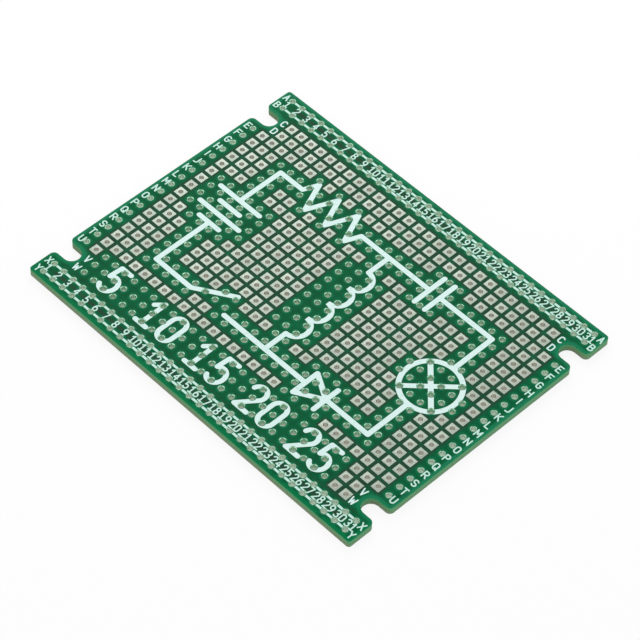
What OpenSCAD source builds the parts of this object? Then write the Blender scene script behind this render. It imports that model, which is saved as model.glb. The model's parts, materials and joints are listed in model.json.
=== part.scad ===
// Prototype board: a glass-fibre laminate drilled with a square grid of plated holes, covered with
// green solder mask on both faces and printed in white on the top, with a slot for a screw near
// each corner. Millimetres, +Z up. The origin is the middle of the underside.
// Columns run along X and are counted from 1, rows run along -Y and are lettered from a.

/* [Grid] */
// Distance from one hole to the next
pitch = 2.54; // [2.4:0.02:3]
// Columns of holes along the length
columns = 31; // [29:1:41]
// Rows of holes along the width
rows = 25; // [23:1:26]
// Rows at each long edge that are printed as bus lines
bus_rows = 2; // [1:1:2]

/* [Board] */
// Thickness over both solder masks
board_t = 1.6; // [0.8:0.1:3.2]
// Middle of the outermost holes to the short edges
edge_x = 2.3; // [1.6:0.1:5]
// Middle of the outermost holes to the long edges
edge_y = 1.42; // [1.2:0.02:4]
// Radius of the outer corners
corner_r = 0.6; // [0.2:0.1:1]

/* [Slots] */
// Width of the four slots in the short edges
slot_w = 3.6; // [2.4:0.1:4.2]
// Short edge to the bottom of a slot
slot_depth = 4.4; // [3:0.1:5.2]
// Radius of the two corners at a slot's mouth
slot_mouth_r = 1; // [0.2:0.1:1.2]
// Outermost row of holes to the middle of a slot, in pitches
slot_row = 2.5; // [2.5:1:4.5]
// Columns of holes left out behind each slot
slot_columns = 2; // [2:1:4]

/* [Plated holes] */
// Inner diameter of a plated hole
hole_d = 1; // [0.6:0.05:1.2]
// Wall of the plated barrel
barrel_t = 0.05; // [0.02:0.01:0.1]
// Side of a square pad
pad_w = 1.8; // [1.6:0.05:2.1]
// Bare rim round a hole that has no square pad
rim_w = 0.15; // [0.12:0.01:0.25]

/* [Mask and print] */
// Thickness of each solder mask, and of the pads that lie flush in it
mask_t = 0.04; // [0.02:0.01:0.08]
// Thickness of the printed ink
ink_t = 0.02; // [0.01:0.005:0.04]
// Gap from the ink to bare metal
ink_gap = 0.05; // [0:0.01:0.15]
// Width of a bus line
bus_w = 0.45; // [0.3:0.05:0.8]
// Width of the strokes of the circuit drawing
stroke_w = 1; // [0.6:0.1:1.2]

/* [Circuit drawing, in pitches] */
// Distance between the side wires
circuit_w = 21; // [18:1:22]
// Distance between the top and bottom wires
circuit_h = 12; // [10:1:13]
// Middle of the drawing above the middle of the grid
circuit_up = 0.5; // [-0.5:0.5:1.5]
// Middle branch, with the coil, to the right of the middle of the grid
branch_x = 0.5; // [-1.5:0.5:1.5]
// Length of the resistor's zigzag
resistor_l = 6; // [4:1:7]
// Height of the zigzag on each side of its wire
resistor_h = 1.2; // [0.6:0.1:1.5]
// Radius of the lamp
lamp_r = 2.2; // [1.5:0.1:2.5]
// Radius of one turn of the coil
coil_r = 1; // [0.6:0.05:1.2]
// Half-length of the capacitor's plates
capacitor_l = 1.5; // [1:0.1:2]
// Half-length of the battery's long plates
plate_l = 2; // [1.5:0.1:2.5]
// Distance between plates, in the battery and the capacitor
plate_gap = 1; // [0.8:0.1:1.2]
// Length of the diode's triangle along its wire
diode_h = 2; // [1.6:0.1:2.6]
// Length of the switch's open lever
lever_l = 3.4; // [2.5:0.1:4]
// Angle of the lever to its wire, in degrees
lever_a = 32; // [15:1:45]

/* [Number fields, in pitches] */
// Columns from one large printed number to the next
number_step = 5; // [4:1:6]
// Width of the pad-free field under a number
number_w = 4; // [3:0.5:4]
// Height of that field
number_h = 2.8; // [2:0.1:3.2]

/* [Hidden] */
$fn = 32;
RESISTOR_TEETH = 6;
COIL_TURNS = 4;
CELLS = 2;
THROUGH = 1;
TINY = 0.001;
LETTER_A = 97;

GREEN = [0.08, 0.44, 0.28];
TIN = [0.78, 0.80, 0.75];
WHITE = [0.90, 0.94, 0.93];
GLASS_FIBRE = [0.48, 0.58, 0.42];

board_l = (columns - 1) * pitch + 2 * edge_x;
board_w = (rows - 1) * pitch + 2 * edge_y;
drill_d = hole_d + 2 * barrel_t;
rim_d = hole_d + 2 * rim_w;
core_t = board_t - 2 * mask_t;
// A hair wider than the strokes, so that their edges cross it and don't just touch it
joint_d = stroke_w + 4 * TINY;

row_letters = [for (r = [0:rows - 1]) chr(LETTER_A + r)];
bus_list = [for (r = [0:rows - 1]) if (is_bus(r)) r];
plated_nodes = [for (l = row_letters) str("plated_row_", l)];
bus_nodes = [for (r = bus_list) str("bus_line_", row_letters[r])];

// The grid

function hole_x(c) = (c - (columns + 1) / 2) * pitch;
function hole_y(r) = ((rows - 1) / 2 - r) * pitch;
function hole_at(c, r) = [hole_x(c), hole_y(r)];
function from_edge(i, last) = min(i, last - i);
function is_bus(r) = from_edge(r, rows - 1) < bus_rows;
function is_side(c) = from_edge(c - 1, columns - 1) < 1;
function at_slot(c, r) =
    from_edge(c - 1, columns - 1) < slot_columns && abs(from_edge(r, rows - 1) - slot_row) < 1;

// Every column that has a hole in row r
function columns_in(r) = [for (c = [1:columns]) if (!at_slot(c, r)) c];

// The circuit drawing: lines as pairs of points and rings as centre and radius, in pitches

side = circuit_w / 2;
top = circuit_up + circuit_h / 2;
bottom = circuit_up - circuit_h / 2;
resistor_x = -side / 2;
capacitor_x = floor(side / 2);
coil_half = COIL_TURNS * coil_r;
battery_y = floor(circuit_up) + 1;
battery_half = (2 * CELLS - 1) * plate_gap / 2;
diode_l = diode_h * 2 / sqrt(3);
diode_x = floor(side / 2) + 0.5;
switch_x = -side / 2;

function path(points) = [for (i = [1:len(points) - 1]) [points[i - 1], points[i]]];

function resistor() =
    let (tooth = resistor_l / RESISTOR_TEETH, start = resistor_x - resistor_l / 2)
    path(concat(
        [[start, top]],
        [for (i = [0:RESISTOR_TEETH - 1])
            [start + (i + 0.5) * tooth, top + resistor_h * (i % 2 == 0 ? 1 : -1)]],
        [[start + resistor_l, top]]
    ));

function capacitor() =
    [for (s = [-1, 1])
        let (x = capacitor_x + s * plate_gap / 2)
        [[x, top - capacitor_l], [x, top + capacitor_l]]];

function battery() =
    [for (i = [0:2 * CELLS - 1])
        let (y = battery_y + battery_half - i * plate_gap, half = plate_l * (i % 2 == 0 ? 1 : 0.5))
        [[-side - half, y], [-side + half, y]]];

function lamp_cross() =
    let (d = lamp_r / sqrt(2))
    [for (s = [-1, 1]) [[side - d, circuit_up - s * d], [side + d, circuit_up + s * d]]];

function diode() =
    let (x0 = diode_x - diode_h / 2, x1 = diode_x + diode_h / 2, y = diode_l / 2)
    concat(
        path([[x0, bottom - y], [x0, bottom + y], [x1, bottom], [x0, bottom - y]]),
        [[[x1, bottom - y], [x1, bottom + y]]]
    );

function switch_lever() =
    let (hinge = [switch_x - lever_l / 2, bottom])
    [[hinge, hinge + lever_l * [cos(lever_a), sin(lever_a)]]];

function wires() = [
    [[-side, top], [resistor_x - resistor_l / 2, top]],
    [[resistor_x + resistor_l / 2, top], [capacitor_x - plate_gap / 2, top]],
    [[capacitor_x + plate_gap / 2, top], [side, top]],
    [[-side, top], [-side, battery_y + battery_half]],
    [[-side, battery_y - battery_half], [-side, bottom]],
    [[side, top], [side, circuit_up + lamp_r]],
    [[side, circuit_up - lamp_r], [side, bottom]],
    [[branch_x, top], [branch_x, circuit_up + coil_half]],
    [[branch_x, circuit_up - coil_half], [branch_x, bottom]],
    [[-side, bottom], [switch_x - lever_l / 2, bottom]],
    [[switch_x + lever_l / 2, bottom], [diode_x - diode_h / 2, bottom]],
    [[diode_x + diode_h / 2, bottom], [side, bottom]],
];

lines = concat(wires(), resistor(), capacitor(), battery(), lamp_cross(), diode(), switch_lever());
line_ends = [for (l = lines) each l];
joints = [for (i = [0:len(line_ends) - 1]) if (is_first(i)) line_ends[i]];
lamp_ring = [[side, circuit_up], lamp_r];
coil_rings = [for (i = [0:COIL_TURNS - 1])
    [[branch_x, circuit_up + coil_half - (2 * i + 1) * coil_r], coil_r]];

// Is end i of a line at a place that no earlier end has?
function is_first(i) =
    len([for (j = [0:1:i - 1]) if (norm(line_ends[i] - line_ends[j]) < TINY) 1]) == 0;

// Which holes lose their square pad to the print

function nearest_on_line(p, l) =
    let (d = l[1] - l[0], t = ((p - l[0]) * d) / (d * d))
    l[0] + d * min(max(t, 0), 1);

function nearest_on_ring(p, ring) =
    let (d = p - ring[0])
    norm(d) > 0 ? ring[0] + d * ring[1] / norm(d) : ring[0] + [ring[1], 0];

// Does a stroke through q touch the square pad at p?
function touches(p, q) =
    let (d = (p - q) * pitch, far = max(norm(d), TINY), spread = (abs(d.x) + abs(d.y)) / far)
    norm(d) < pad_w / 2 * spread + stroke_w / 2 + ink_gap;

function under_drawing(p) =
    len([for (l = lines) if (touches(p, nearest_on_line(p, l))) 1]) > 0
    || len([for (k = concat([lamp_ring], coil_rings)) if (touches(p, nearest_on_ring(p, k))) 1]) > 0;

// The large numbers stand on the second row above the lower bus lines
number_columns = [for (c = [number_step:number_step:columns - slot_columns - number_w / 2 - 1]) c];
number_row = rows - bus_rows - 2;

function under_number(c, r) =
    abs(r - number_row) * pitch < number_h * pitch / 2 + pad_w / 2
    && len([for (n = number_columns) if (abs(c - n) * pitch < (number_w * pitch + pad_w) / 2) n]) > 0;

function is_printed(c, r) = under_drawing(hole_at(c, r) / pitch) || under_number(c, r);
function square_below(c, r) = !is_bus(r) && !is_side(c);
function square_above(c, r) = square_below(c, r) && !is_printed(c, r);

// Flat shapes

module outline() {
    difference() {
        rounded_rectangle(board_l, board_w, corner_r);
        for (sx = [-1, 1], sy = [-1, 1])
            translate([sx * board_l / 2, sy * (hole_y(0) - slot_row * pitch)])
                rotate(sx > 0 ? 0 : 180) slot();
    }
}

module rounded_rectangle(l, w, r) {
    square([l - 2 * r, w], center = true);
    square([l, w - 2 * r], center = true);
    for (sx = [-1, 1], sy = [-1, 1])
        translate([sx * (l / 2 - r), sy * (w / 2 - r)]) circle(r);
}

// A slot that opens at x = 0 and runs towards -X
module slot() {
    r = slot_w / 2;
    translate([r - slot_depth, 0]) circle(r);
    translate([r - slot_depth, -r]) square([slot_depth - r + THROUGH, slot_w]);
    for (s = [-1, 1])
        difference() {
            translate([-slot_mouth_r, s * r - (s < 0 ? slot_mouth_r : 0)])
                square([slot_mouth_r + THROUGH, slot_mouth_r]);
            translate([-slot_mouth_r, s * (r + slot_mouth_r)]) circle(slot_mouth_r);
        }
}

module pad_shape(is_square) {
    if (is_square) square(pad_w, center = true);
    else circle(d = rim_d);
}

module line_shape(l) {
    d = (l[1] - l[0]) * pitch;
    translate(l[0] * pitch)
        rotate(atan2(d.y, d.x)) translate([0, -stroke_w / 2]) square([norm(d), stroke_w]);
}

module ring_shape(k) {
    translate(k[0] * pitch)
        difference() {
            circle(k[1] * pitch + stroke_w / 2);
            circle(k[1] * pitch - stroke_w / 2);
        }
}

// Each turn of the coil is the half of a ring that bulges towards +X
module coil_shape() {
    reach = coil_r * pitch + stroke_w;
    intersection() {
        union() for (k = coil_rings) ring_shape(k);
        translate([branch_x, circuit_up] * pitch + [0, -COIL_TURNS * reach])
            square([reach, 2 * COIL_TURNS * reach]);
    }
}

// Sub-parts

module laminate() {
    color(GLASS_FIBRE) translate([0, 0, mask_t]) linear_extrude(core_t)
        difference() {
            outline();
            for (r = [0:rows - 1], c = columns_in(r))
                translate(hole_at(c, r)) circle(d = drill_d);
        }
}

module solder_mask_top() {
    color(GREEN) translate([0, 0, board_t - mask_t]) linear_extrude(mask_t)
        difference() {
            outline();
            for (r = [0:rows - 1], c = columns_in(r))
                translate(hole_at(c, r)) pad_shape(square_above(c, r));
        }
}

module solder_mask_bottom() {
    color(GREEN) linear_extrude(mask_t)
        difference() {
            outline();
            for (r = [0:rows - 1], c = columns_in(r))
                translate(hole_at(c, r)) pad_shape(square_below(c, r));
        }
}

module plated_hole(above, below) {
    difference() {
        union() {
            translate([0, 0, board_t - mask_t]) linear_extrude(mask_t) pad_shape(above);
            cylinder(d = drill_d, h = board_t);
            linear_extrude(mask_t) pad_shape(below);
        }
        translate([0, 0, -THROUGH]) cylinder(d = hole_d, h = board_t + 2 * THROUGH);
    }
}

module plated_row(r) {
    color(TIN) for (c = columns_in(r))
        translate(hole_at(c, r)) plated_hole(square_above(c, r), square_below(c, r));
}

module bus_line(r) {
    color(WHITE) translate([0, 0, board_t]) linear_extrude(ink_t)
        difference() {
            translate([hole_x(1), hole_y(r) - bus_w / 2]) square([hole_x(columns) - hole_x(1), bus_w]);
            for (c = columns_in(r))
                translate(hole_at(c, r)) circle(d = rim_d + 2 * ink_gap);
        }
}

module circuit_drawing() {
    color(WHITE) translate([0, 0, board_t]) linear_extrude(ink_t)
        difference() {
            union() {
                for (l = lines) line_shape(l);
                for (p = joints) translate(p * pitch) circle(d = joint_d);
                ring_shape(lamp_ring);
                coil_shape();
            }
            for (r = [0:rows - 1], c = columns_in(r))
                if (under_drawing(hole_at(c, r) / pitch))
                    translate(hole_at(c, r)) circle(d = rim_d + 2 * ink_gap);
        }
}

laminate();
solder_mask_top();
solder_mask_bottom();
for (r = [0:rows - 1])
    plated_row(r);
for (i = [0:len(bus_list) - 1])
    bus_line(bus_list[i]);
circuit_drawing();
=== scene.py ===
"""The looks of a prototype board: its surfaces, printed letters and numbers, floor, light and camera."""
import json
import math
from collections import namedtuple

import bmesh
import bpy
from mathutils import Matrix, Vector
from mathutils.geometry import delaunay_2d_cdt


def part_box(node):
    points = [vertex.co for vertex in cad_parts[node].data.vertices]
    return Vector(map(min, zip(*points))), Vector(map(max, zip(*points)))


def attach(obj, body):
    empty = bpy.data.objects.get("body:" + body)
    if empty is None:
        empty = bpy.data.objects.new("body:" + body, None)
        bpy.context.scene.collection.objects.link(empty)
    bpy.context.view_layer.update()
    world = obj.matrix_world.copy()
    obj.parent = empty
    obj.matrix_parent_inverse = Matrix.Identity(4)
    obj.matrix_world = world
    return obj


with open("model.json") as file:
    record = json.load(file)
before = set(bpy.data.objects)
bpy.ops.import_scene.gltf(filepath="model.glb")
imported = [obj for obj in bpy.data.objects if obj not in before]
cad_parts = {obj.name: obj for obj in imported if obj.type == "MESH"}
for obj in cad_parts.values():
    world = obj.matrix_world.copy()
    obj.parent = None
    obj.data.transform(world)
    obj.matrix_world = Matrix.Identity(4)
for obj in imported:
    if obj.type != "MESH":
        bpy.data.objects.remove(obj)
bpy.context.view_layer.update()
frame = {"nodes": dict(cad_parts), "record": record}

# All sizes below are in millimetres, in the frame of the CAD part
MM = 0.001


# The board, as the frame has it

def low_and_high(node):
    """The box of a CAD node, in millimetres."""
    return [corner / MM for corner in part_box(node)]


def middle(node):
    low, high = low_and_high(node)
    return (low + high) / 2


PLATED_ROWS = sorted(name for name in frame["nodes"] if name.startswith("plated_row_"))
ROWS = len(PLATED_ROWS)
ROW_Y = [middle(name).y for name in PLATED_ROWS]
PITCH = ROW_Y[0] - ROW_Y[1]
RIM_LOW, RIM_HIGH = low_and_high(PLATED_ROWS[0])
RIM_R = (RIM_HIGH.y - RIM_LOW.y) / 2
COLUMNS = int((RIM_HIGH.x - RIM_LOW.x) / PITCH) + 1
COLUMN_X = [(c - (COLUMNS - 1) / 2) * PITCH for c in range(COLUMNS)]
GRID_X, GRID_Y = COLUMN_X[-1], ROW_Y[0]
BOARD_X, BOARD_Y, BOARD_TOP = low_and_high("solder_mask_top")[1]
INK_BOTTOM, INK_TOP = (corner.z for corner in low_and_high("circuit_drawing"))
SLOT = next(m for m in frame["record"]["mounts"] if m["name"].startswith("screw_slot"))
SLOT_X, SLOT_Y = (abs(v) / MM for v in SLOT["pos_m"][:2])
SLOT_R = SLOT["dims"]["r_mm"]
# The inner radius of a plated hole, and the rows at each long edge that are printed as bus lines
HOLE_R = 0.5
BUS_ROWS = 2
TINY = 1e-4


def holes_in(row):
    """The middles of the holes of a row, counted from row A."""
    low, high = low_and_high(PLATED_ROWS[row])
    return [Vector((x, ROW_Y[row])) for x in COLUMN_X if low.x < x < high.x]


def square_columns(row):
    """The columns in which a row has a square pad on the top, counted from 0."""
    found = set()
    for vertex in frame["nodes"][PLATED_ROWS[row]].data.vertices:
        corner = vertex.co / MM
        column = round(corner.x / PITCH + (COLUMNS - 1) / 2)
        off_x, off_y = abs(corner.x - COLUMN_X[column]), abs(corner.y - ROW_Y[row])
        if corner.z > BOARD_TOP / 2 and min(off_x, off_y) > RIM_R + TINY:
            found.add(column)
    return found


# Letters and digits as lines, in cells that are 1 high

LETTER_W = 0.58
DIGIT_W = 0.5
ARC_STEP = 15


def line(*points):
    return [Vector(p) for p in points]


def arc(x, y, rx, ry, start, end):
    """Points along an ellipse, from one angle to another, in degrees."""
    steps = round(abs(end - start) / ARC_STEP)
    angles = [math.radians(start + (end - start) * i / steps) for i in range(steps + 1)]
    return [Vector((x + rx * math.cos(a), y + ry * math.sin(a))) for a in angles]


def oval(width):
    """A tall ring with straight sides, as in O and 0."""
    r = width / 2
    return arc(r, 1 - r, r, r, 0, 180) + arc(r, r, r, r, 180, 360) + line((width, 1 - r))


def letter_lines():
    w, m = LETTER_W, LETTER_W / 2
    waist = 0.53
    p_lines = line((0, 0), (0, 1)) + arc(0.3, 0.73, w - 0.3, 0.27, 90, -90) + line((0, 0.46))
    c_arc = arc(m, 1 - m, m, m, 30, 180) + arc(m, m, m, m, 180, 330)
    g_arc = arc(m, 1 - m, m, m, 30, 180) + arc(m, m, m, m, 180, 360)
    return {
        "A": [line((0, 0), (m, 1), (w, 0)), line((0.1, 0.34), (w - 0.1, 0.34))],
        "B": [
            line((0, 0), (0, 1)) + arc(0.3, (1 + waist) / 2, 0.24, (1 - waist) / 2, 90, -90),
            line((0, waist)) + arc(0.31, waist / 2, w - 0.31, waist / 2, 90, -90) + line((0, 0)),
        ],
        "C": [c_arc],
        "D": [line((0, 0), (0, 1)) + arc(m, 1 - m, m, m, 90, 0) + arc(m, m, m, m, 0, -90) + line((0, 0))],
        "E": [line((w, 1), (0, 1), (0, 0), (w, 0)), line((0, waist), (0.44, waist))],
        "F": [line((w, 1), (0, 1), (0, 0)), line((0, waist), (0.44, waist))],
        "G": [g_arc + line((w, 0.45), (0.34, 0.45))],
        "H": [line((0, 0), (0, 1)), line((w, 0), (w, 1)), line((0, waist), (w, waist))],
        "I": [line((m, 0), (m, 1))],
        "J": [line((0.5, 1)) + arc(0.26, 0.24, 0.24, 0.24, 0, -90) + line((0.02, 0))],
        "K": [line((0, 0), (0, 1)), line((w, 1), (0, 0.38)), line((0.17, 0.56), (w, 0))],
        "L": [line((0, 1), (0, 0), (w - 0.04, 0))],
        "M": [line((0, 0), (0, 1), (0.32, 0.35), (0.64, 1), (0.64, 0))],
        "N": [line((0, 0), (0, 1), (w, 0), (w, 1))],
        "O": [oval(w)],
        "P": [p_lines],
        "Q": [oval(w), line((0.34, 0.24), (0.62, -0.04))],
        "R": [p_lines, line((0.27, 0.46), (w, 0))],
        "S": [arc(m, 0.745, m - 0.01, 0.255, 25, 270) + arc(m, 0.245, m, 0.245, 90, -155)],
        "T": [line((0, 1), (0.6, 1)), line((0.3, 1), (0.3, 0))],
        "U": [line((0, 1)) + arc(m, m, m, m, 180, 360) + line((w, 1))],
        "V": [line((0, 1), (0.3, 0), (0.6, 1))],
        "W": [line((0, 1), (0.17, 0), (0.36, 0.72), (0.55, 0), (0.72, 1))],
        "X": [line((0, 0), (w, 1)), line((0, 1), (w, 0))],
        "Y": [line((0, 1), (0.3, 0.5), (0.6, 1)), line((0.3, 0.5), (0.3, 0))],
    }


def digit_lines():
    w, m = DIGIT_W, DIGIT_W / 2
    six = [arc(m, 0.29, m, 0.29, 0, 360), arc(w, 0.29, w, 0.71, 180, 100)]
    return {
        "0": [oval(w)],
        "1": [line((0.04, 0.76), (m + 0.02, 1), (m + 0.02, 0)), line((0.04, 0), (w, 0))],
        "2": [arc(m, 0.73, m, 0.27, 165, -30) + line((0, 0), (w, 0))],
        "3": [arc(m, 0.755, m - 0.01, 0.245, 150, -90) + arc(m, 0.255, m, 0.255, 90, -150)],
        "4": [line((0.38, 0), (0.38, 1), (0, 0.3), (w, 0.3))],
        "5": [line((0.46, 1), (0.06, 1), (0.03, 0.54)) + arc(0.23, 0.31, 0.27, 0.31, 130, -145)],
        "6": six,
        "7": [line((0, 1), (w, 1), (0.16, 0))],
        "8": [arc(m, 0.76, 0.21, 0.24, 0, 360), arc(m, 0.26, m, 0.26, 0, 360)],
        "9": [[Vector((w, 1)) - p for p in part] for part in six],
    }


GLYPHS = {**letter_lines(), **digit_lines()}


# From lines to closed, flat solids of ink

# A bend above this angle, in degrees, is a corner
SHARP = 40
DISC_SIDES = 16
HOLE_SIDES = 28


def disc(centre, r, sides):
    angles = [2 * math.pi * i / sides for i in range(sides)]
    return [centre + Vector((r * math.cos(a), r * math.sin(a))) for a in angles]


def runs(points):
    """A line without its doubled points, in pieces that end at its corners."""
    points = [p for i, p in enumerate(points) if i == 0 or (p - points[i - 1]).length > TINY]
    found = [points[:1]]
    for before, here, after in zip(points, points[1:], points[2:]):
        found[-1].append(here)
        if math.degrees((here - before).angle(after - here)) > SHARP:
            found.append([here])
    found[-1].append(points[-1])
    return found


def ribbon(run, r):
    """Quads along a run, which meet on the lines that halve its bends."""
    ways = [(b - a).normalized() for a, b in zip(run, run[1:])]
    cuts = []
    for i, point in enumerate(run):
        after = ways[min(i, len(ways) - 1)]
        mean = (ways[max(i - 1, 0)] + after).normalized()
        out = Vector((-mean.y, mean.x)) * r / mean.dot(after)
        cuts.append((point + out, point - out))
    return [[right0, right1, left1, left0] for (left0, right0), (left1, right1) in zip(cuts, cuts[1:])]


def covered(solids, cuts):
    """The points and triangles of what any of the solid polygons covers and none of the cuts does."""
    points, faces = [], []
    for polygon in solids + cuts:
        faces.append(list(range(len(points), len(points) + len(polygon))))
        points += polygon
    points, _, triangles, _, _, sources = delaunay_2d_cdt(points, [], faces, 1, TINY)
    return points, [t for t, s in zip(triangles, sources) if s and max(s) < len(solids)]


Style = namedtuple("Style", "height stroke advance")


def ink_sheet(bm, text, centre, style, holes):
    """Adds flat faces for a text, open round the holes, to a bmesh."""
    size = style.height - style.stroke
    solids = []
    for i, character in enumerate(text):
        glyph = GLYPHS[character]
        xs = [p.x for part in glyph for p in part]
        shift = Vector(((i - (len(text) - 1) / 2) * style.advance, 0)) + centre
        cell = Vector(((min(xs) + max(xs)) / 2, 0.5))
        for part in glyph:
            for run in runs([shift + (p - cell) * size for p in part]):
                solids += ribbon(run, style.stroke / 2)
                solids += [disc(p, style.stroke / 2, DISC_SIDES) for p in (run[0], run[-1])]
    points, triangles = covered(solids, holes)
    corners = [bm.verts.new((p.x * MM, p.y * MM, INK_BOTTOM * MM)) for p in points]
    for triangle in triangles:
        bm.faces.new([corners[i] for i in triangle])


def near(centre, reach, rows, r):
    """Discs of radius r for the holes of these rows that lie within reach of a place."""
    return [disc(h, r, HOLE_SIDES) for row in rows for h in holes_in(row) if (h - centre).length < reach]


def ink_piece(name, words, style, clear_r):
    """One mesh for many words, each (text, centre, rows with holes in its way)."""
    bm = bmesh.new()
    for text, centre, rows in words:
        reach = style.height + clear_r + style.advance * (len(text) - 1) / 2
        ink_sheet(bm, text, centre, style, near(centre, reach, rows, clear_r))
    loose = [v for v in bm.verts if not v.link_faces]
    bmesh.ops.delete(bm, geom=loose, context="VERTS")
    bmesh.ops.dissolve_limit(bm, angle_limit=math.radians(1), verts=bm.verts[:], edges=bm.edges[:])
    raised = bmesh.ops.extrude_face_region(bm, geom=bm.faces[:], use_keep_orig=True)["geom"]
    lift = Vector((0, 0, (INK_TOP - INK_BOTTOM) * MM))
    bmesh.ops.translate(bm, vec=lift, verts=[v for v in raised if isinstance(v, bmesh.types.BMVert)])
    bmesh.ops.recalc_face_normals(bm, faces=bm.faces[:])
    mesh = bpy.data.meshes.new(name)
    bm.to_mesh(mesh)
    bm.free()
    piece = bpy.data.objects.new(name, mesh)
    bpy.context.scene.collection.objects.link(piece)
    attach(piece, "root")
    return piece


# What is printed

ROW_LETTER = Style(height=1.66, stroke=0.27, advance=0)
COLUMN_NUMBER = Style(height=1.76, stroke=0.26, advance=1.2)
LARGE_NUMBER = Style(height=6.9, stroke=0.95, advance=4.9)
# From the outermost hole of a row to its letter, for rows A and B, C and D, E to U, V and W, X and Y
LETTER_LEFT = [1.38] * 2 + [1.95] * 2 + [1.18] * (ROWS - 8) + [1.82] * 2 + [1.24] * 2
LETTER_RIGHT = [1.7] * 2 + [1.97] * 2 + [1.22] * (ROWS - 8) + [1.78] * 2 + [1.48] * 2
LETTER_DOWN = 0.11
NUMBER_LEFT = 0.04
# The small print is laid over the rims of the holes, up to here
LETTER_CLEAR_R = HOLE_R + 0.02
# The large print stays clear of the rims
LARGE_CLEAR_R = RIM_R + 0.05
# Columns from one large number to the next
LARGE_STEP = 5
# The row of their middles, and how many rows on each side have holes in their way
LARGE_ROW = ROWS - BUS_ROWS - 2
LARGE_REACH = 2


def row_letters():
    words = []
    for row in range(ROWS):
        holes = holes_in(row)
        letter = chr(ord("A") + row)
        words.append((letter, holes[0] - Vector((LETTER_LEFT[row], LETTER_DOWN)), [row]))
        words.append((letter, holes[-1] + Vector((LETTER_RIGHT[row], -LETTER_DOWN)), [row]))
    return ink_piece("row_letters", words, ROW_LETTER, LETTER_CLEAR_R)


def column_numbers():
    words = []
    for upper, lower in ((0, 1), (ROWS - 2, ROWS - 1)):
        y = (ROW_Y[upper] + ROW_Y[lower]) / 2
        words += [(str(c + 1), Vector((x - NUMBER_LEFT, y)), [upper, lower]) for c, x in enumerate(COLUMN_X)]
    return ink_piece("column_numbers", words, COLUMN_NUMBER, LETTER_CLEAR_R)


def large_numbers():
    rows = range(LARGE_ROW - LARGE_REACH, LARGE_ROW + LARGE_REACH + 1)
    numbers = range(LARGE_STEP, COLUMNS - LARGE_STEP, LARGE_STEP)
    words = [(str(n), Vector((COLUMN_X[n - 1], ROW_Y[LARGE_ROW])), rows) for n in numbers]
    return ink_piece("large_numbers", words, LARGE_NUMBER, LARGE_CLEAR_R)


# Node formulas for the materials

class Value:
    """A number that varies over a surface. Formulas with it become Math nodes."""

    def __init__(self, tree, socket):
        self.tree = tree
        self.socket = socket

    def math(self, operation, *inputs):
        node = self.tree.nodes.new("ShaderNodeMath")
        node.operation = operation
        for slot, value in zip(node.inputs, inputs):
            if isinstance(value, Value):
                self.tree.links.new(value.socket, slot)
            else:
                slot.default_value = value
        return Value(self.tree, node.outputs[0])

    def __add__(self, other):
        return self.math("ADD", self, other)

    def __sub__(self, other):
        return self.math("SUBTRACT", self, other)

    def __mul__(self, other):
        return self.math("MULTIPLY", self, other)

    def __truediv__(self, other):
        return self.math("DIVIDE", self, other)

    def __abs__(self):
        return self.math("ABSOLUTE", self)

    def below(self, other):
        return self.math("MINIMUM", self, other)

    def above(self, other):
        return self.math("MAXIMUM", self, other)

    def length_with(self, other):
        total = self * self + other * other
        return total.math("SQRT", total)

    def opposite(self):
        """0 for 1 and 1 for 0."""
        return self * -1 + 1

    def nearest(self):
        """The nearest whole number."""
        return self.math("ROUND", self)

    def to_nearest(self):
        """How far the number is from the nearest whole number, 0 to 0.5."""
        return abs(self.math("FRACT", self + 0.5) - 0.5)

    def fade(self, start, end):
        """0 at start and before it, 1 at end and beyond it. The start may be the higher of the two."""
        node = self.tree.nodes.new("ShaderNodeMapRange")
        node.interpolation_type = "SMOOTHSTEP"
        self.tree.links.new(self.socket, node.inputs["Value"])
        node.inputs["From Min"].default_value = start
        node.inputs["From Max"].default_value = end
        return Value(self.tree, node.outputs["Result"])


def linear(colour):
    """A colour from 0 to 255, as it looks on a screen, in the numbers that a shader takes (sRGB's curve)."""
    return [(v / 255 / 12.92 if v < 10 else ((v / 255 + 0.055) / 1.055) ** 2.4) for v in colour] + [1]


# How many columns fit in one number as its bits
BITS = 16


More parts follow.
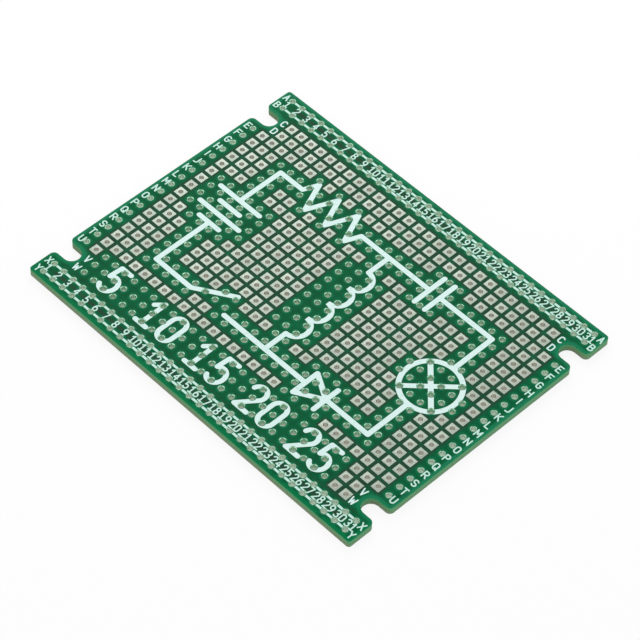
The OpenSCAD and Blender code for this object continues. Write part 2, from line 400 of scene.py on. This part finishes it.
class Surface:
    """A material with the means to paint it by place, in millimetres."""

    def __init__(self, name):
        self.material = bpy.data.materials.new(name)
        self.material.use_nodes = True
        self.tree = self.material.node_tree
        self.shader = self.tree.nodes["Principled BSDF"]
        place = self.tree.nodes.new("ShaderNodeTexCoord").outputs["Object"]
        scale = self.tree.nodes.new("ShaderNodeVectorMath")
        scale.operation = "SCALE"
        scale.inputs["Scale"].default_value = 1 / MM
        self.tree.links.new(place, scale.inputs[0])
        self.place = scale.outputs[0]

    def xyz(self):
        return self.split(self.place)

    def normal(self):
        return self.split(self.tree.nodes.new("ShaderNodeNewGeometry").outputs["Normal"])

    def split(self, vector):
        node = self.tree.nodes.new("ShaderNodeSeparateXYZ")
        self.tree.links.new(vector, node.inputs[0])
        return [Value(self.tree, out) for out in node.outputs]

    def noise(self, size, detail=2, stretch=(1, 1, 1)):
        """Smooth noise from 0 to 1, with blobs of about this size in millimetres."""
        mapping = self.tree.nodes.new("ShaderNodeMapping")
        mapping.inputs["Scale"].default_value = [1 / size / s for s in stretch]
        self.tree.links.new(self.place, mapping.inputs["Vector"])
        node = self.tree.nodes.new("ShaderNodeTexNoise")
        node.inputs["Scale"].default_value = 1
        node.inputs["Detail"].default_value = detail
        self.tree.links.new(mapping.outputs[0], node.inputs["Vector"])
        return Value(self.tree, node.outputs["Fac"])

    def cell_noise(self, x, y):
        """One random number from 0 to 1 for each pair of whole numbers."""
        join = self.tree.nodes.new("ShaderNodeCombineXYZ")
        self.tree.links.new(x.socket, join.inputs[0])
        self.tree.links.new(y.socket, join.inputs[1])
        node = self.tree.nodes.new("ShaderNodeTexWhiteNoise")
        node.noise_dimensions = "2D"
        self.tree.links.new(join.outputs[0], node.inputs["Vector"])
        return Value(self.tree, node.outputs["Value"])

    def square_pad(self, x, y):
        """1 nearest to a hole with a square pad on the top, else 0.

        Each row's pads are the bits of two numbers, for the left and the right columns. The row's numbers are
        picked first, and then the column's bit.
        """
        column = (x / PITCH + (COLUMNS - 1) / 2).nearest()
        row = (y / -PITCH + (ROWS - 1) / 2).nearest()
        right = column.math("GREATER_THAN", column, BITS - 0.5)
        left_bits, right_bits = row * 0, row * 0
        for r in range(ROWS):
            here = row.math("COMPARE", row, r, 0.5)
            found = square_columns(r)
            left_sum = sum(2**c for c in found if c < BITS)
            right_sum = sum(2 ** (c - BITS) for c in found if c >= BITS)
            left_bits = here.math("MULTIPLY_ADD", here, left_sum, left_bits)
            right_bits = here.math("MULTIPLY_ADD", here, right_sum, right_bits)
        bits = right_bits * right + left_bits * right.opposite() + 0.5
        shifted = bits / column.math("POWER", 2, column - right * BITS)
        half = shifted.math("FLOOR", shifted) * 0.5
        return half.math("FRACT", half) * 2

    def blend(self, first, second, share):
        """A colour between two, which are screen colours or the results of other blends."""
        node = self.tree.nodes.new("ShaderNodeMix")
        node.data_type = "RGBA"
        self.tree.links.new(share.socket, node.inputs[0])
        for slot, colour in ((node.inputs[6], first), (node.inputs[7], second)):
            if isinstance(colour, bpy.types.NodeSocket):
                self.tree.links.new(colour, slot)
            else:
                slot.default_value = linear(colour)
        return node.outputs[2]

    def paint(self, colour):
        self.tree.links.new(colour, self.shader.inputs["Base Color"])

    def vary(self, socket, value):
        self.tree.links.new(value.socket, self.shader.inputs[socket])

    def bump(self, height, depth):
        """Tilts the surface by a height from 0 to 1, which stands for a depth in millimetres."""
        node = self.tree.nodes.new("ShaderNodeBump")
        node.inputs["Distance"].default_value = depth * MM
        self.tree.links.new(height.socket, node.inputs["Height"])
        self.tree.links.new(node.outputs[0], self.shader.inputs["Normal"])

    def set(self, **values):
        for socket, value in values.items():
            self.shader.inputs[socket.replace("_", " ")].default_value = value


# Materials

# Colours as they look on a screen, from 0 to 255
MASK_ON_LAMINATE, MASK_ON_COPPER = (0, 92, 54), (6, 106, 68)
# Painted shade for the narrow strips of mask between square pads
MASK_GAP_SHADE = (38, 72, 52)
# Painted light: brighter greens near the outline and the slots, the first towards low y
MASK_LOW_Y_EDGE_GLOW, MASK_EDGE_GLOW = (0, 118, 70), (26, 126, 86)
MASK_PALE, MASK_DARK = (6, 122, 80), (0, 52, 30)
TIN_DULL, TIN_BRIGHT, TIN_BLOTCH = (146, 158, 146), (161, 172, 160), (128, 142, 128)
# The last is a painted highlight, for glints on the bare rims
RIM_GREEN, RIM_PALE, RIM_GLINT = (30, 100, 66), (130, 172, 142), (214, 246, 222)
# The inside of a hole with square pads, and of one with bare rims, in the grid and in the border
WALL_MOUTH, WALL_MIDDLE = (215, 215, 204), (196, 196, 182)
WALL_IN_GRID, WALL_IN_BORDER = (160, 208, 174), (206, 226, 207)
GLASS_LOW, GLASS_MIDDLE, GLASS_HIGH = (134, 150, 122), (122, 146, 106), (90, 158, 106)
# Painted light: a lighter green for the faces that point along x, the lit short ends
GLASS_END_LIT = (88, 168, 116)
THREAD_PALE, THREAD_DARK = (150, 178, 146), (70, 96, 66)
INK_THICK, INK_THIN, INK_GRAIN = (220, 246, 242), (196, 232, 222), (238, 250, 247)
INK_BY_EDGE = (176, 232, 208)

# From the middle of a row or column of holes, in pitches: where the painted shade between square pads starts
# and is full
GAP_START, GAP_FULL = 0.30, 0.37
# How far the painted shade between pads reaches past the outermost holes: where it ends and where it is still
# full
GAPS_END, GAPS_FULL = 0.9, 0.4
# How far the copper under the mask shows round a hole
COPPER_END, COPPER_FULL = 1.12, 0.92


def to_grid(x, y):
    """How far a place is from a column and a row of holes, in pitches, and from a hole, in millimetres."""
    across, along = (x / PITCH).to_nearest(), (y / PITCH).to_nearest()
    return across, along, across.length_with(along) * PITCH


def solder_mask():
    """Green mask: painted light towards the outline and slots, for light that comes through the laminate,
    pale over hidden copper, painted shade between square pads.
    """
    s = Surface("green_mask")
    x, y, z = s.xyz()
    across, along, to_hole = to_grid(x, y)
    to_slot = (abs(x) - SLOT_X).below(0).length_with(abs(y) - SLOT_Y) - SLOT_R
    to_edge = (abs(x) * -1 + BOARD_X).below(abs(y) * -1 + BOARD_Y).below(to_slot)

    in_columns = abs(x).fade(GRID_X + GAPS_END, GRID_X + GAPS_FULL)
    in_rows = abs(y).fade(GRID_Y + GAPS_END, GRID_Y + GAPS_FULL)
    on_bus = abs(y).fade(GRID_Y - 1.45 * PITCH, GRID_Y - 1.35 * PITCH)
    on_side = abs(x).fade(GRID_X - 0.85 * PITCH, GRID_X - 0.5 * PITCH)
    # Painted shade: the strips of mask between square pads are painted dark, less where strips cross; where
    # no square pad is near it stays at 0.15, but is full on the bus rows and the underside
    between_columns = across.fade(GAP_START, GAP_FULL) * on_bus.opposite()
    between_rows = along.fade(GAP_START, GAP_FULL) * (on_side * -0.8 + 1)
    crossing = between_columns * between_rows
    gap_shade = (between_columns.above(between_rows) - crossing * 0.45) * in_columns * in_rows
    on_underside = z.fade(BOARD_TOP * 0.6, BOARD_TOP * 0.4)
    gap_shade = gap_shade * s.square_pad(x, y).above(on_bus).above(on_underside).above(0.15)
    over_copper = to_hole.fade(COPPER_END, COPPER_FULL)

    green = s.blend(MASK_ON_LAMINATE, MASK_ON_COPPER, over_copper)
    green = s.blend(green, MASK_GAP_SHADE, gap_shade)
    # Painted light: within about a millimetre of the outline and the slots the mask is painted brighter, a
    # little less so towards low y
    edge_glow = s.blend(MASK_LOW_Y_EDGE_GLOW, MASK_EDGE_GLOW, y.fade(-GRID_Y, -GRID_Y * 0.7))
    green = s.blend(green, edge_glow, to_edge.fade(1.1, 0.3))
    cloudy = s.noise(2.2, 3)
    green = s.blend(green, MASK_PALE, cloudy.fade(0.45, 0.95) * 0.5)
    green = s.blend(green, MASK_DARK, cloudy.fade(0.5, 0.1) * 0.5)
    s.paint(green)
    s.vary("Roughness", s.noise(0.8) * 0.16 + 0.28)
    s.bump(over_copper * 0.5 + s.noise(0.35, 1) * 0.5, 0.012)
    s.set(Specular_IOR_Level=0.03)
    return s.material


def tinned_copper():
    """Tinned copper: pale, uneven, slightly domed pads, green-tinged bare rims with painted glints, dull tan
    inside the holes.
    """
    s = Surface("tinned_copper")
    x, y, z = s.xyz()
    across, along, to_hole = to_grid(x, y)
    column, row = (x / PITCH).nearest(), (y / PITCH).nearest()
    tin = s.blend(TIN_DULL, TIN_BRIGHT, s.cell_noise(column, row))
    tin = s.blend(tin, TIN_BLOTCH, s.noise(0.9, 3).fade(0.5, 0.85) * 0.6)
    to_face = abs(z - BOARD_TOP / 2) * -1 + BOARD_TOP / 2
    wall = s.blend(WALL_MOUTH, WALL_MIDDLE, to_face.fade(0.05, 0.8))
    in_border = abs(x).fade(GRID_X - 0.6 * PITCH, GRID_X - 0.4 * PITCH).above(
        abs(y).fade(GRID_Y - 1.6 * PITCH, GRID_Y - 1.4 * PITCH)
    )
    on_top = z.fade(BOARD_TOP * 0.4, BOARD_TOP * 0.6)
    no_square = in_border.above(s.square_pad(x, y).opposite() * on_top)
    patchy = s.noise(0.35, 1).fade(0.55, 0.72)
    # Painted highlight: pale arcs on the -x and +y sides of each bare rim, the sides that face the lamp,
    # stand in for glints; fainter in the border
    glint_arcs = (column * PITCH - x).above(y - row * PITCH).fade(0.48, 0.58)
    glint = glint_arcs * (in_border * -0.3 + 0.58)
    rim = s.blend(RIM_GREEN, RIM_PALE, patchy)
    rim = s.blend(rim, RIM_GLINT, glint)
    tin = s.blend(tin, rim, no_square * 0.9)
    wall = s.blend(wall, s.blend(WALL_IN_GRID, WALL_IN_BORDER, in_border), no_square)
    s.paint(s.blend(tin, wall, to_hole.fade(HOLE_R + 0.03, HOLE_R + 0.01)))
    s.vary("Roughness", s.noise(0.5, 2) * 0.2 + 0.34)
    dome = across.above(along).fade(0.36, 0.15)
    s.bump(dome * 0.7 + s.noise(0.45, 2) * 0.3, 0.03)
    s.set(Metallic=0.7)
    return s.material


def glass_fibre():
    """The laminate's sawn faces: three bands of glass cloth in resin, with fine threads along them, and
    painted light on the faces that point along x.
    """
    s = Surface("glass_fibre")
    _, _, z = s.xyz()
    level = z + (s.noise(1.6, 2) - 0.5) * 0.35
    band = s.blend(GLASS_LOW, GLASS_MIDDLE, level.fade(0.3, 0.6))
    band = s.blend(band, GLASS_HIGH, level.fade(0.8, 1.05))
    threads = s.noise(0.09, 3, stretch=(9, 9, 1))
    band = s.blend(band, THREAD_PALE, threads.fade(0.55, 0.8) * 0.5)
    band = s.blend(band, THREAD_DARK, threads.fade(0.45, 0.2) * 0.5)
    # Painted light: faces that point along x are painted a lighter green, as if lit from the side
    lit_end_face = abs(s.normal()[0]).fade(0.6, 0.95)
    s.paint(s.blend(band, GLASS_END_LIT, lit_end_face * 0.45))
    s.vary("Roughness", threads * 0.3 + 0.5)
    s.bump(threads, 0.02)
    s.set(Specular_IOR_Level=0.25)
    return s.material


def white_ink():
    """Printed ink: white with a cold tinge and a fine grain. Near the edges it lets some green through."""
    s = Surface("white_ink")
    x, y, _ = s.xyz()
    thin = s.noise(0.7, 3)
    ink = s.blend(INK_THICK, INK_THIN, thin.fade(0.5, 0.85))
    beyond_side = abs(x).fade(GRID_X - 0.6, GRID_X - 0.3)
    in_bus = abs(y).fade(GRID_Y - 1.5 * PITCH, GRID_Y - 1.3 * PITCH)
    ink = s.blend(ink, INK_BY_EDGE, beyond_side.above(in_bus) * 0.5)
    s.paint(s.blend(ink, INK_GRAIN, s.noise(0.18, 2).fade(0.5, 0.8) * 0.6))
    s.vary("Roughness", thin * 0.2 + 0.45)
    s.bump(s.noise(0.12, 2), 0.004)
    s.set(Specular_IOR_Level=0.3)
    return s.material


def dress():
    """Gives every CAD node and every new piece its material."""
    by_slot = {
        "glass_fibre": glass_fibre(),
        "solder_mask": solder_mask(),
        "tinned_copper": tinned_copper(),
        "white_ink": white_ink(),
    }
    for part in frame["record"]["subparts"]:
        mesh = frame["nodes"][part["node"]].data
        mesh.materials.clear()
        mesh.materials.append(by_slot[part["material_slot"]])
    for piece in (row_letters(), column_numbers(), large_numbers()):
        piece.data.materials.append(by_slot["white_ink"])


# Floor, light and camera

FLOOR_SIDE = 3000
# How much of the floor's white is its own and doesn't take shadow
FLOOR_GLOW = 0.85
# Its colour where it only lights the board from below
FLOOR_WHITE = 0.85


def seen_or_mirrored(tree):
    """1 for rays that show a background: from the camera, off something glossy or through glass."""
    path = tree.nodes.new("ShaderNodeLightPath")
    camera, glossy, glass = (
        Value(tree, path.outputs[f"Is {kind} Ray"]) for kind in ("Camera", "Glossy", "Transmission")
    )
    return camera.above(glossy).above(glass)


def floor():
    mesh = bpy.data.meshes.new("floor")
    half = FLOOR_SIDE / 2 * MM
    corners = [(sx * half, sy * half, -TINY * MM) for sx, sy in ((-1, -1), (1, -1), (1, 1), (-1, 1))]
    mesh.from_pydata(corners, [], [(0, 1, 2, 3)])
    material = bpy.data.materials.new("white_floor")
    material.use_nodes = True
    tree = material.node_tree
    shader = tree.nodes["Principled BSDF"]
    shader.inputs["Roughness"].default_value = 0.9
    shader.inputs["Specular IOR Level"].default_value = 0
    shader.inputs["Emission Color"].default_value = [1, 1, 1, 1]
    seen = seen_or_mirrored(tree)
    tree.links.new((seen * FLOOR_GLOW).socket, shader.inputs["Emission Strength"])
    white = seen * (1 - FLOOR_GLOW - FLOOR_WHITE) + FLOOR_WHITE
    tree.links.new(white.socket, shader.inputs["Base Color"])
    mesh.materials.append(material)
    plane = bpy.data.objects.new("floor", mesh)
    bpy.context.scene.collection.objects.link(plane)


# What share of the world's white lights the surfaces. The lamp adds the rest.
ROOM_LIGHT = 0.79


def white_world():
    """White all round, with less light for the surfaces than it shows."""
    world = bpy.data.worlds.new("white_room")
    world.use_nodes = True
    tree = world.node_tree
    strength = seen_or_mirrored(tree) * (1 - ROOM_LIGHT) + ROOM_LIGHT
    back = tree.nodes["Background"]
    back.inputs["Color"].default_value = [1, 1, 1, 1]
    tree.links.new(strength.socket, back.inputs["Strength"])
    bpy.context.scene.world = world


# Near the place that the board would mirror into the camera, so the pads fade from left to right
LAMP_AT = Vector((-270, 230, 270))
LAMP_SIDE = 270
# In watts
LAMP_POWER = 0.6


def lamp():
    data = bpy.data.lights.new("soft_lamp", "AREA")
    data.size = LAMP_SIDE * MM
    data.energy = LAMP_POWER
    light = bpy.data.objects.new("soft_lamp", data)
    light.location = LAMP_AT * MM
    light.rotation_euler = (-LAMP_AT).to_track_quat("-Z", "Y").to_euler()
    bpy.context.scene.collection.objects.link(light)


CAMERA_AT = Vector((225.7, -232.9, 391.8))
CAMERA_WAY = Vector((-0.4408, 0.4565, -0.7729)).normalized()
# The camera's lean, in degrees: what is upright leans to the right by this in the picture
CAMERA_ROLL = 2.44
CAMERA_FIELD = 12.64


def camera():
    data = bpy.data.cameras.new("camera")
    data.angle = math.radians(CAMERA_FIELD)
    view = bpy.data.objects.new("camera", data)
    level_right = CAMERA_WAY.cross(Vector((0, 0, 1))).normalized()
    right = Matrix.Rotation(math.radians(-CAMERA_ROLL), 3, CAMERA_WAY) @ level_right
    up = right.cross(CAMERA_WAY)
    turn = Matrix((right, up, -CAMERA_WAY)).transposed().to_4x4()
    view.matrix_world = Matrix.Translation(CAMERA_AT * MM) @ turn
    bpy.context.scene.collection.objects.link(view)
    bpy.context.scene.camera = view


dress()
floor()
white_world()
lamp()
camera()
bpy.context.scene.view_settings.view_transform = "Standard"
